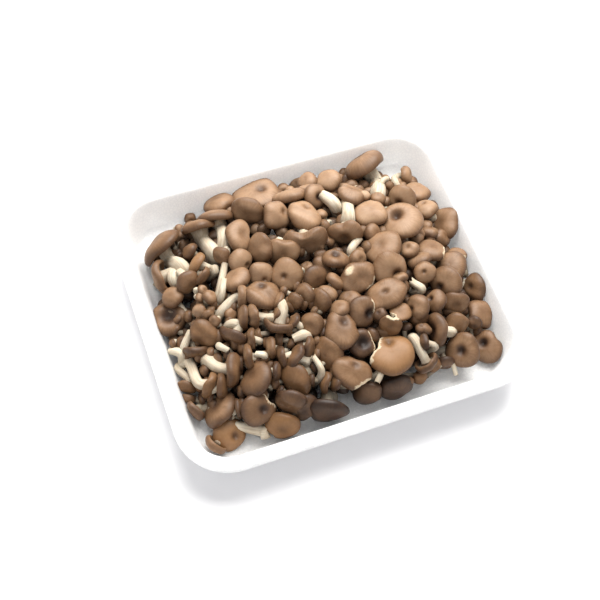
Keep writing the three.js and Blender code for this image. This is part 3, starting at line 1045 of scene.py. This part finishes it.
@dataclass(frozen=True)
class Stem:
    """A stem along a smooth way between points, which may start in torn flesh."""

    way: tuple[Vector, ...]
    thick: float
    seed: int
    flare: float = 0.0
    broken: bool = False

    def _route(self, steps: int) -> np.ndarray:
        """Points along the way, as a smooth curve through its points."""
        knots = np.array([list(p) for p in self.way])
        ends = 2 * knots[0] - knots[1], 2 * knots[-1] - knots[-2]
        full = np.vstack([ends[0], knots, ends[1]])
        route = []
        for share in np.linspace(0, len(knots) - 1 - NOTHING, steps):
            part = int(share)
            t = share - part
            a, b, c, d = full[part:part + 4]
            square, cube = 2 * a - 5 * b + 4 * c - d, 3 * b - a - 3 * c + d
            route.append(0.5 * (2 * b + (c - a) * t + square * t * t + cube * t**3))
        return np.array(route)

    def _tear_end(self, rings: np.ndarray, away: np.ndarray, draws: np.random.Generator) -> Vector:
        """Makes the stem's start a ragged break.

        Args:
            rings: The stem's rings, whose first two are moved.
            away: The way that the stem runs from there.
            draws: The stem's own random numbers.

        Returns:
            The middle of the break.
        """
        angles = np.arange(rings.shape[1]) / rings.shape[1] * 2 * math.pi
        jag = sum(
            draws.normal() * 0.5 * np.cos(k * angles + draws.uniform(0, 6)) for k in (2, 3, 5, 8)
        )
        rings[1] = rings[2] - away * (0.6 + 0.8 * jag[:, None])
        rings[0] = rings[1] * 0.45 + rings[1].mean(0) * 0.55 + away * 0.8
        return Vector(rings[0].mean(0) - away * 0.3)

    def draw(self, sketch: Sketch) -> None:
        """Adds the stem to a sketch."""
        draws = np.random.default_rng(self.seed + 5)
        sides, steps = (20, 22) if self.thick > THICK_STEM else (14, 14)
        share = np.linspace(0, 1, steps)
        route = self._route(steps)
        bow = np.sin(np.linspace(0, math.pi, steps))[:, None] * draws.normal(0, BOW * self.thick, 3)
        route = route + bow * (1, 1, 0)
        tangents = np.gradient(route, axis=0)
        tangents /= np.linalg.norm(tangents, axis=1, keepdims=True)
        normal = np.cross(tangents[0], (0.3, 0.5, 0.81))
        angles = np.arange(sides) / sides * 2 * math.pi
        phases = draws.uniform(0, 6, 4)
        width = 0.86 + self.flare * np.exp(-share * FLARE_FADE) + 0.4 * share
        width += 0.06 * np.sin(share * 8 + phases[0])
        ridge = 1 + 0.05 * np.cos(2 * angles + phases[1]) + 0.035 * np.cos(5 * angles + phases[2])
        ridge += 0.02 * np.cos(9 * angles + phases[3])
        rings = []
        for step in range(steps):
            normal = normal - tangents[step] * normal.dot(tangents[step])
            normal /= np.linalg.norm(normal)
            side = np.cross(tangents[step], normal)
            size = self.thick / 2 * width[step] * (ridge + 0.02 * np.cos(3 * angles + share[step] * 5))
            out = np.cos(angles)[:, None] * normal + np.sin(angles)[:, None] * side
            rings.append(route[step] + size[:, None] * out)
        rings = np.array(rings)
        torn = np.zeros((steps, sides))
        start = Vector(route[0])
        if self.broken:
            start = self._tear_end(rings, tangents[0], draws)
            torn[0], torn[1] = 1.0, 0.8
        grid, around = np.meshgrid(share, angles, indexing="ij")
        length = float(np.linalg.norm(np.diff(route, axis=0), axis=1).sum())
        fibre = [np.cos(around), np.sin(around), grid * length / 10 + self.seed % 53]
        traits = {
            Trait.STEM: 1.0,
            Trait.DARK: (0.0 if self.broken else 0.75) * np.exp(-grid * FLARE_FADE) + 0.2 * grid,
            Trait.TORN: torn,
        }
        sketch.add_rings(rings, np.stack(fibre, -1), traits, (start, Vector(route[-1])), inwards=True)


@dataclass(frozen=True)
class Stalk:
    """A broken stem with no cap, lying on the heap."""

    start: tuple[float, float]
    end: tuple[float, float]
    thick: float
    lift: float = 0.0

    def draw(self, sketch: Sketch, butt: Vector) -> None:
        """Adds the stalk to a sketch.

        Args:
            sketch: What it is added to.
            butt: Where the clump's stems meet.
        """
        places = [on_heap(*self.start), on_heap(*self.end)]
        way = [place + facing(place) * (self.lift - self.thick / 2) for place in places]
        seed = int(self.start[0] * 5 + 1000) * 31 + int(self.start[1] * 5 + 1000)
        Stem((*way, butt), self.thick, seed, broken=True).draw(sketch)


@dataclass(frozen=True)
class Clump:
    """Mushrooms that grew from one butt."""

    x: float
    y: float
    heads: tuple[Cap | Stalk, ...]

    def butt(self) -> Vector:
        """Where the stems meet, low in the tray."""
        return Vector((self.x, self.y, BUTT_HEIGHT))

    def build(
        self,
        name: str,
        node: str,
        hidden: list[Cap],
        tray: FoamTray,
        material: bpy.types.Material,
    ) -> bpy.types.Object:
        """Makes the clump's one piece.

        Args:
            name: The piece's name.
            node: The frame's node that it stands for.
            hidden: Smaller mushrooms of the same clump, under the ones that show.
            tray: The tray that it lies in.
            material: What it wears.

        Returns:
            The piece.
        """
        sketch = Sketch()
        for head in (*self.heads, *hidden):
            head.draw(sketch, self.butt())
        sketch.press(tray)
        sketch.shade_depths()
        piece = sketch.build(name, material)
        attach(piece, "root")
        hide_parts(node)
        return piece


# ---- The heap's plan: every mushroom that shows, clump by clump ----
# A cap's tone is its own lightness; for caps that lie low, darker tones also paint in the shade that they
# lie in
PLAN: dict[Area, list[Clump]] = {
    Area.BACK: [
        Clump(-80, 37, (
            Cap(-93, 64, 33, 84, 117, dent=0.05, tone=-0.9, thick=0.42, stem=10, foot=(-82, 40), lift=3),
        )),
        Clump(-59, 39, (
            Cap(-65, 67, 25.5, 97, 88, tone=-0.5, stem=10.5, foot=(-63, 40)),
            Cap(-51, 70, 24.5, 97, 80, tone=-0.6, stem=10, foot=(-56, 42)),
        )),
        Clump(-28, 65, (
            Cap(-44, 86, 23, 60, 95, tone=-0.1),
            Cap(-29, 66, 24.5, 42, 235, tone=-0.4, dent=0.1),
            Cap(
                -17, 84, 34, 50, 85, dent=0.5, hollow=(0.3, 350), dent_width=0.2, thick=0.26, tone=-0.25,
                lift=4,
            ),
        )),
        Clump(4, 56, (
            Cap(-12, 55, 21, 30, 10, dent=0.3, hollow=(0.4, 15), dent_width=0.22, tone=0.2),
            Cap(3, 69, 23, 85, 83, foot=(4, 54)),
            Cap(6, 48, 24, 42, 55, dent=0.35, hollow=(0.35, 60), dent_width=0.22, tone=0.2, lift=1),
            Cap(20, 63, 18.5, 35, 0, dent=0.7, hollow=(0.15, 300), tone=0.1),
        )),
        Clump(25, 73, (
            Cap(22, 82, 16, 50, 100),
            Cap(16, 72, 11.5, 88, 80),
            Cap(36, 77, 19.5, 45, 90, tone=0.1),
        )),
        Clump(37, 46, (
            Stalk((24, 65), (30, 48), 8),
            Stalk((40, 54), (30, 37), 9),
            Cap(45, 56, 23, 72, 55, lift=1),
        )),
        Clump(63, 49, (
            Cap(69, 84, 34, 86, 96, tone=-0.1, thick=0.6, stem=10.5, foot=(64, 52), lift=5),
            Cap(62, 48, 11.5, 50, 60, lift=1),
            Cap(54, 53, 8, 40, 60, lift=1),
            Stalk((82, 70), (73, 62), 4.5, 2),
        )),
        Clump(91, 56, (
            Cap(99, 74, 15, 80, 0, foot=(85, 65), lift=3),
            Cap(98, 54, 22, 60, 60, tone=-0.1, lift=3),
            Cap(97, 36, 17.5, 50, 80, dent=0.3, hollow=(0.3, 90), dent_width=0.22, lift=4),
        )),
    ],
    Area.RIGHT: [
        Clump(74, 34, (
            Cap(81, 46, 21, 20, 215, dent=0.55, hollow=(0.25, 208), dent_width=0.22, tone=0.1, lift=2),
            Cap(
                70, 25, 32, 38, 80, dent=0.8, hollow=(0.22, 110), dent_width=0.26, wave=0.1, tone=0.35,
                lift=4,
            ),
            Cap(79, 13, 10.5, 40, 0, lift=-6),
        )),
        Clump(51, 29, (
            Cap(51, 36, 24.5, 42, 70, dent=0.12, notch=Notch(255, 0.16, 28), wave=0.1, tone=0.25),
            Cap(46, 20, 14, 40, 0, tone=-0.5, lift=-5),
        )),
        Clump(95, 14, (
            Cap(109, 25, 26.5, 40, 135, dent=0.2, notch=Notch(140, 0.3, 30), lift=10),
            Cap(98, 10, 14, 50, 0, tone=-0.3, lift=-3),
            Cap(89, 14, 14, 73, 60, tone=-0.3, lift=-5),
        )),
        Clump(69, -6, (
            Cap(67, 2, 14, 45, 95),
            Cap(71, -7, 19.5, 73, 80, lift=-2),
            Cap(71, -17, 15.5, 8, 0, dent=0.35, hollow=(0.15, 150), dent_width=0.18, tone=0.4, lift=3),
        )),
        Clump(91, -2, (
            Cap(84, -1, 23, 62, 55, tear=Tear(330, 0.25, 35), dent=0.15, lift=1),
            Cap(105, -4, 15, 50, 60, tear=Tear(250, 0.35, 50), tone=-0.2, lift=3),
            Stalk((109, -3), (113, -16), 5, 4),
        )),
        Clump(93, -22, (
            Cap(94, -14, 23, 25, 90, tone=0.15, lift=1),
            Cap(84, -27, 24, 25, 190, dent=0.55, hollow=(0.3, 185), dent_width=0.22, tone=0.15, lift=4),
            Cap(110, -29, 21, 42, 165, dent=0.3, hollow=(0.1, 90), dent_width=0.22, lift=8),
        )),
        Clump(56, -46, (
            Cap(55, -41, 18, 30, 165, dent=0.4, hollow=(0.3, 170), dent_width=0.22, lift=2),
            Cap(53, -48, 15, 55, 260, lift=-4),
            Cap(55, -56, 9.5, 73, 30, lift=-1),
        )),
        Clump(68, -49, (
            Cap(70, -39, 16, 30, 130, dent=0.5, hollow=(0.28, 130), dent_width=0.22, lift=1),
            Cap(63, -58, 23, 58, 170, dent=0.6, dent_width=0.45, tone=-0.25, lift=1),
        )),
        Clump(82, -50, (
            Cap(85, -42, 18.5, 30, 265, warm=0.15, tone=0.05, lift=1),
            Cap(80, -56, 17, 35, 260, warm=0.3),
        )),
        Clump(96, -58, (
            Cap(105, -49, 21, 42, 20, tone=-0.15, lift=7),
            Cap(96, -56, 11, 40, 240, tone=-0.4, lift=3),
            Cap(
                101, -72, 23, 12, 135, dent=0.7, hollow=(0.25, 105), dent_width=0.24,
                notch=Notch(15, 0.2, 22), stem=5, tone=-0.1, lift=8,
            ),
        )),
        Clump(63, -68, (
            Cap(
                79, -73, 24.5, 15, 180, dent=0.65, dent_width=0.24, tone=-0.15, stem=8.5, foot=(64, -68),
                lift=5,
            ),
        )),
    ],
    Area.MIDDLE: [
        Clump(-7, 27, (
            Cap(-18, 25, 24, 30, 250, notch=Notch(60, 0.35, 38), tone=0.1, dent=0.2, lift=-1),
            Cap(
                -1, 28, 32, 50, 255, dent=0.3, notch=Notch(88, 0.42, 36), oval=1.15, grain=0, dark=0.5,
                tone=0.2, lift=1,
            ),
        )),
        Clump(20, 17, (
            Cap(28, 26, 24, 48, 243, notch=Notch(85, 0.3, 28), tone=0.1, dent=0.4),
            Cap(13, 8, 19.5, 58, 60, notch=Notch(95, 0.35, 38), dent=0.5),
        )),
        Clump(40, 8, (
            Cap(48, 7, 27.5, 35, 100, tone=0.2, dent=0.2),
            Cap(28, 4, 14, 40, 330, lift=-3),
            Stalk((37, 20), (24, 9), 6, -4),
        )),
        Clump(52, -13, (
            Cap(47, -9, 24.5, 25, 310, dent=0.6, hollow=(0.38, 310), dent_width=0.24, tone=0.05, lift=4),
            Cap(51, -18, 11.5, 73, 80, tone=0.2, lift=1),
            Stalk((57, -20), (64, -27), 6, -4),
        )),
        Clump(11, -5, (
            Cap(
                23, -10, 24, 15, 330, dent=0.2, peel=Peel(0.72, 125, 0.34), tear=Tear(318, 0.14, 34),
                tone=0.25, lift=1,
            ),
            Cap(-5, -2, 19.5, 40, 300, tone=-0.35, lift=-2),
            Cap(7, -8, 14, 73, 30, lift=-2),
            Cap(3, 6, 15, 30, 0, tone=-0.5, lift=-6),
        )),
        Clump(-34, 5, (
            Cap(-22, 7, 22.5, 8, 190, dent=0.4, hollow=(0.15, 200), dent_width=0.16, tone=0.2, lift=1),
            Cap(-38, 13, 17.5, 22, 290, dent=0.3, hollow=(0.35, 280), dent_width=0.2, tone=0.15),
            Cap(-42, -2, 24, 40, 60, dent=0.45, hollow=(0.35, 85), dent_width=0.22, tone=0.05, lift=2),
        )),
        Clump(-37, 39, (
            Cap(-42, 46, 23, 40, 20, dent=0.2, notch=Notch(345, 0.45, 30), oval=1.15, grain=90),
            Cap(-32, 32, 22, 45, 170),
        )),
        Clump(-52, 21, (
            Cap(-48, 27, 17.5, 28, 320, dent=0.35, hollow=(0.45, 320), dent_width=0.2, tone=0.1),
            Cap(-55, 15, 21, 58, 105),
        )),
        Clump(-53, -20, (
            Cap(-59, -13, 17.5, 83, 165, thick=0.46),
            Cap(-52, -14, 16, 83, 170, foot=(-41, -19)),
            Cap(-59, -28, 14, 81, 165, thick=0.46),
        )),
        Clump(-31, -19, (
            Cap(-34, -10, 13, 78, 140, thick=0.46),
            Cap(-37, -18, 14, 78, 140, thick=0.46),
            Cap(-39, -26, 21, 97, 240, foot=(-35, -14), lift=1),
            Cap(-29, -27, 13, 83, 130, thick=0.46),
            Cap(-23, -13, 12, 45, 200),
        )),
        Clump(-8, -14, (
            Cap(-15, -11, 16, 45, 190),
            Cap(-7, -18, 17.5, 45, 185),
            Cap(-1, -15, 14, 35, 60, lift=-2),
        )),
        Clump(0, -38, (
            Cap(3, -28, 15, 50, 95, tone=0.15),
            Cap(
                -1, -42, 25.5, 22, 50, dent=0.45, hollow=(0.35, 50), dent_width=0.26,
                notch=Notch(350, 0.16, 13), oval=1.15, grain=80, tone=0.2, lift=3,
            ),
        )),
        Clump(16, -30, (
            Cap(
                17, -34, 21.5, 28, 310, dent=0.7, hollow=(0.3, 330), tear=Tear(0, 0.28, 38), tone=-0.25,
                lift=1,
            ),
            Cap(12, -23, 16, 40, 90, lift=-5),
        )),
        Clump(35, -36, (
            Cap(37, -27, 25.5, 25, 80, dent=0.3, dent_width=0.16, oval=1.35, tone=0.4, lift=3),
            Cap(32, -48, 16, 30, 250, tear=Tear(60, 0.35, 26), thick=0.25, warm=0.5, tone=0.2, lift=1),
            Cap(42, -41, 15, 35, 60, tear=Tear(200, 0.35, 24), thick=0.25, warm=0.5, tone=0.3, lift=2),
            Cap(28, -39, 10.5, 30, 120, tone=-0.6, lift=-1),
        )),
        Clump(-25, -39, (
            Cap(-25, -46, 14, 73, 330, thick=0.46),
            Stalk((-35, -38), (-27, -39), 7),
            Cap(-18, -32, 16, 22, 200, tone=0.15, lift=1),
        )),
        Clump(-50, -42, (
            Cap(-64, -39, 17.5, 88, 170, thick=0.46),
            Cap(-49, -39, 16, 81, 170, lift=-2, thick=0.46),
            Stalk((-60, -39), (-55, -43), 5, -1),
            Cap(-44, -47, 15, 85, 180, thick=0.46),
            Cap(-36, -50, 19.5, 81, 132, thick=0.46),
        )),
    ],
    Area.LEFT: [
        Clump(-86, 31, (
            Cap(-99, 41, 26.5, 100, 183, foot=(-90, 33), lift=3),
            Cap(-85, 28, 17.5, 50, 300, tone=-0.1, lift=3),
        )),
        Clump(-73, 34, (
            Cap(-75, 37, 17.5, 91, 133, warm=0.6, foot=(-68, 28)),
            Cap(-76, 50, 13, 73, 120, tone=-0.7, lift=-4),
            Cap(-75, 28, 14, 100, 300, lift=-1),
        )),
        Clump(-71, 9, (
            Cap(-58, 36, 14, 50, 210, tone=-0.3, foot=(-69, 10)),
            Stalk((-60, 23), (-67, 9), 4.5),
            Cap(-75, 10, 11.5, 55, 30),
            Cap(-78, 17, 8, 40, 0),
            Cap(-81, 13, 7, 40, 0),
        )),
        Clump(-90, 5, (
            Cap(-97, 23, 15.5, 35, 120, foot=(-87, -3), lift=3),
            Cap(-103, 11, 25.5, 25, 90, dent=0.85, dent_width=0.4, tone=-0.25),
        )),
        Clump(-74, -4, (
            Cap(-84, 4, 10.5, 40, 200),
            Cap(-80, -1, 9.5, 50, 280, lift=-2),
            Cap(-77, -7, 8.5, 40, 200),
            Cap(-55, 2, 16, 81, 350, foot=(-73, -3)),
            Cap(-66, -7, 9.5, 30, 0, lift=-4),
        )),
        Clump(-94, -13, (
            Cap(
                -86, -12, 19.5, 22, 230, dent=0.15, hollow=(0.55, 215), notch=Notch(220, 0.1, 14),
                warm=0.35, lift=2,
            ),
            Stalk((-92, -4), (-101, -14), 5),
            Cap(-94, -21, 18.5, 78, 255, tone=-0.4, lift=-2, thick=0.46),
            Cap(-106, -7, 7, 73, 180, lift=-1),
        )),
        Clump(-73, -18, (
            Stalk((-73, -32), (-79, -25), 4.5),
            Cap(-69, -22, 19.5, 75, 225, tone=-0.35, foot=(-70, -14)),
        )),
        Clump(-103, -20, (
            Cap(-106, -38, 14, 78, 240, warm=0.5, foot=(-108, -23)),
            Cap(-93, -45, 19.5, 85, 320, warm=0.4, tone=0.1, foot=(-100, -24)),
            Stalk((-110, -9), (-102, -18), 6),
        )),
        Clump(-88, -32, (
            Cap(-86, -49, 17.5, 85, 345, warm=0.3, thick=0.46),
            Cap(-76, -43, 23, 74, 335, warm=0.2, foot=(-89, -30)),
        )),
        Clump(-95, -55, (
            Cap(-91, -62, 26.5, 58, 125, tone=-0.1),
            Cap(-80, -66, 14, 88, 0, tone=-0.2, lift=-3, thick=0.46),
            Cap(-106, -56, 16, 83, 205, thick=0.46),
            Cap(-108, -46, 10.5, 73, 250, tone=-0.3, lift=-3),
        )),
    ],
    Area.FRONT: [
        Clump(-70, -82, (
            Cap(
                -90, -77, 22.5, 12, 320, dent=0.5, hollow=(0.32, 330), dent_width=0.22, warm=0.8,
                tone=0.35, foot=(-70, -85), lift=2,
            ),
        )),
        Clump(-95, -73, (Cap(-100, -82, 16, 108, 215, stem=4, tone=0.3, lift=-1),)),
        Clump(-69, -68, (
            Cap(
                -68, -71, 24, 25, 330, dent=0.5, hollow=(0.15, 330), dent_width=0.24,
                tear=Tear(30, 0.42, 30), tone=-0.1, lift=2,
            ),
        )),
        Clump(-58, -55, (
            Cap(-64, -54, 25.5, 52, 128, dent=0.15, lift=1),
            Cap(-50, -54, 14, 81, 340, tone=-0.1, thick=0.46),
        )),
        Clump(-49, -76, (
            Cap(-47, -74, 23, 60, 235),
            Cap(-40, -79, 21, 45, 260, lift=-3),
            Cap(-56, -85, 23, 45, 250, dent=0.3, warm=0.9, tone=0.5, notch=Notch(200, 0.3, 22), lift=-1),
        )),
        Clump(-29, -63, (
            Cap(-40, -63, 23, 45, 208, warm=0.4, tone=-0.1, foot=(-29, -64)),
            Stalk((-26, -48), (-22, -63), 4.5),
        )),
        Clump(-17, -63, (
            Cap(-15, -54, 24, 25, 200, warm=0.2, tone=-0.1, lift=-3),
            Cap(-22, -70, 15, 78, 150, warm=0.3, tone=-0.2, lift=-3, thick=0.46),
            Cap(-15, -71, 16, 75, 150, warm=0.3, tone=-0.2, lift=-3, thick=0.46),
        )),
        Clump(-24, -77, (Cap(-26, -87, 27.5, 68, 250, tone=-1.1, warm=0.1, foot=(-21, -80), lift=-6),)),
        Clump(3, -73, (
            Cap(
                -3, -69, 25.5, 22, 20, dent=0.3, hollow=(0.3, 60), dent_width=0.2,
                notch=Notch(52, 0.24, 24), tear=Tear(290, 0.2, 30), oval=1.2, grain=320, warm=0.2, lift=3,
            ),
            Cap(4, -83, 21, 50, 250, tone=-0.5, warm=0.2, lift=-6),
            Cap(22, -86, 24, 60, 265, tone=-1.1, warm=0.1, lift=-9),
            Stalk((10, -81), (17, -75), 4, 1),
        )),
        Clump(19, -61, (
            Cap(
                26, -66, 31, 30, 60, dent=0.4, hollow=(0.45, 80), dent_width=0.2,
                tear=Tear(140, 0.42, 34), warm=0.9, tone=0.5, lift=3,
            ),
            Cap(
                9, -54, 19.5, 20, 0, dent=0.85, dent_width=0.4, tear=Tear(0, 0.2, 45), tone=-0.3, lift=-3,
            ),
        )),
        Clump(46, -64, (
            Cap(49, -76, 17.5, 115, 283, foot=(43, -60)),
            Cap(52, -64, 13, 85, 165),
            Cap(52, -55, 8, 40, 60, lift=-1),
        )),
        Clump(50, -79, (
            Cap(42, -83, 11, 50, 270, warm=0.9, lift=-6),
            Cap(54, -78, 11.5, 50, 300, warm=0.7, lift=-5),
            Cap(32, -83, 10.5, 73, 250, warm=0.6, lift=-6),
            Cap(63, -78, 14, 73, 260, tone=-0.4, lift=-5),
            Stalk((71, -89), (65, -78), 3.5, -2),
        )),
    ],
}


# ---- The small mushrooms deeper in the heap ----
@dataclass(frozen=True)
class Understory:
    """Small mushrooms between and under the ones that show, one in each cell of a loose grid."""

    cell: float
    depth: float
    low: tuple[float, float]
    high: tuple[float, float]
    across: tuple[float, float]
    lean: tuple[float, float]
    towards: tuple[float, float]
    tone: tuple[float, float]
    seed: int
    jitter: float = 2.5

    def grow(self, clumps: list[Clump]) -> dict[Clump, list[Cap]]:
        """Shares the small mushrooms out among the clumps.

        Args:
            clumps: Every clump of the heap.

        Returns:
            The small mushrooms of each clump, by the nearest butt.
        """
        draws = np.random.default_rng(self.seed)
        found: dict[Clump, list[Cap]] = {clump: [] for clump in clumps}
        for x in np.arange(self.low[0], self.high[0], self.cell):
            for y in np.arange(self.low[1], self.high[1], self.cell):
                spot = np.array([x, y]) + draws.uniform(-self.jitter, self.jitter, 2)
                across, lean, towards, tone = (
                    draws.uniform(*ends) for ends in (self.across, self.lean, self.towards, self.tone)
                )
                far = np.abs(spot / UNDER_REACH) ** 4
                if far[0] + far[1] > 1:
                    continue
                near = min(clumps, key=lambda clump: math.dist(spot, (clump.x, clump.y)))
                found[near].append(Cap(*spot, across, lean, towards, lift=-self.depth, tone=tone))
        return found


# The layers' tones lean dark: random tone, with painted shade for how deep the small mushrooms lie
LAYERS = (
    Understory(
        cell=9.0, depth=15.0, low=(-104, -72), high=(108, 84), across=(8.5, 13),
        lean=(0, 70), towards=(0, 360), tone=(-0.9, 0.1), seed=7,
    ),
    Understory(
        cell=8.0, depth=5.0, low=(-100, -66), high=(-8, 14), across=(7, 10.5),
        lean=(66, 92), towards=(130, 190), tone=(-0.4, 0.3), seed=11,
    ),
    Understory(
        cell=12.0, depth=8.0, low=(-8, -50), high=(100, 60), across=(8, 12),
        lean=(20, 80), towards=(40, 300), tone=(-0.6, 0.2), seed=5,
    ),
)


# ---- The studio ----
@dataclass(frozen=True)
class Lamp:
    """A soft square lamp: where it hangs round the tray, its size and its power."""

    name: str
    azimuth: float
    elevation: float
    distance: float
    width: float
    power: float
    colour: tuple[float, float, float] = (1.0, 1.0, 1.0)

    def hang(self, target: Vector) -> None:
        """Adds the lamp, turned to a point."""
        turn, rise = math.radians(self.azimuth), math.radians(self.elevation)
        out = math.cos(rise)
        back = Vector((math.cos(turn) * out, math.sin(turn) * out, math.sin(rise)))
        data = bpy.data.lights.new(self.name, "AREA")
        data.size = self.width
        data.energy = self.power
        data.color = self.colour
        made = bpy.data.objects.new(self.name, data)
        made.location = target + back * self.distance
        made.rotation_mode = "QUATERNION"
        made.rotation_quaternion = back.to_track_quat("Z", "Y")
        bpy.context.scene.collection.objects.link(made)


@dataclass
class Studio:
    """A plain white table, soft lamps and the camera that looks down on the tray."""

    table: float = 3.0
    sky: float = 0.63
    target: tuple[float, float, float] = (-0.0166, -0.0076, 0.030)
    azimuth: float = -29.3
    elevation: float = 63.6
    distance: float = 0.713
    roll: float = 10.4
    lens: float = 63.1
    lamps: tuple[Lamp, ...] = (
        Lamp("window", 66.0, 51.0, 1.1, 1.0, 32.0, (1.0, 0.985, 0.955)),
        Lamp("fill", 200.0, 50.0, 1.4, 1.2, 1.5, (0.98, 0.98, 1.0)),
    )

    def set_up(self) -> None:
        """Makes the table, the lamps and the camera."""
        self._lay_table()
        for lamp in self.lamps:
            lamp.hang(Vector(self.target))
        world = bpy.data.worlds.new("studio")
        world.use_nodes = True
        background = world.node_tree.nodes["Background"]
        background.inputs["Color"].default_value = (0.985, 0.98, 0.99, 1.0)
        background.inputs["Strength"].default_value = self.sky
        bpy.context.scene.world = world
        bpy.context.scene.view_settings.view_transform = "Standard"
        self._place_camera()

    def _lay_table(self) -> None:
        """Adds the table top under the tray."""
        half = self.table / 2
        mesh = bpy.data.meshes.new("table")
        corners = [(-half, -half, 0), (half, -half, 0), (half, half, 0), (-half, half, 0)]
        mesh.from_pydata(corners, [], [(0, 1, 2, 3)])
        mesh.materials.append(TableFinish().material())
        top = bpy.data.objects.new("table", mesh)
        bpy.context.scene.collection.objects.link(top)

    def _place_camera(self) -> None:
        """Adds the camera, rolled about its own axis."""
        turn, rise = math.radians(self.azimuth), math.radians(self.elevation)
        out = math.cos(rise)
        back = Vector((math.sin(turn) * out, -math.cos(turn) * out, math.sin(rise)))
        level = back.to_track_quat("Z", "Y")
        data = bpy.data.cameras.new("camera")
        data.lens = self.lens
        data.sensor_width = 36.0
        camera = bpy.data.objects.new("camera", data)
        camera.rotation_mode = "QUATERNION"
        camera.rotation_quaternion = level @ Quaternion((0, 0, 1), math.radians(self.roll))
        camera.location = Vector(self.target) + back * self.distance
        bpy.context.scene.collection.objects.link(camera)
        bpy.context.scene.camera = camera


def main() -> None:
    """Builds the studio, the tray and every clump, and reports each piece."""
    logging.basicConfig(level=logging.INFO, format="%(name)s: %(message)s")
    Studio().set_up()
    tray = FoamTray()
    piece = tray.build(FoamFinish().material())
    LOG.info("%s: %d faces", piece.name, len(piece.data.polygons))
    flesh = MushroomFinish().material()
    everywhere = [clump for clumps in PLAN.values() for clump in clumps]
    layers = [layer.grow(everywhere) for layer in LAYERS]
    total = 0
    for area, clumps in PLAN.items():
        for number, clump in enumerate(clumps, 1):
            node = f"{area.value}_clump_{number}"
            hidden = [cap for layer in layers for cap in layer[clump]]
            piece = clump.build(f"{area.value}_mushrooms_{number}", node, hidden, tray, flesh)
            total += len(piece.data.polygons)
            count = len(clump.heads) + len(hidden)
            LOG.info("%s: %d mushrooms, %d faces", piece.name, count, len(piece.data.polygons))
    LOG.info("%d mushroom faces in all", total)


if __name__ == "__main__":
    main()
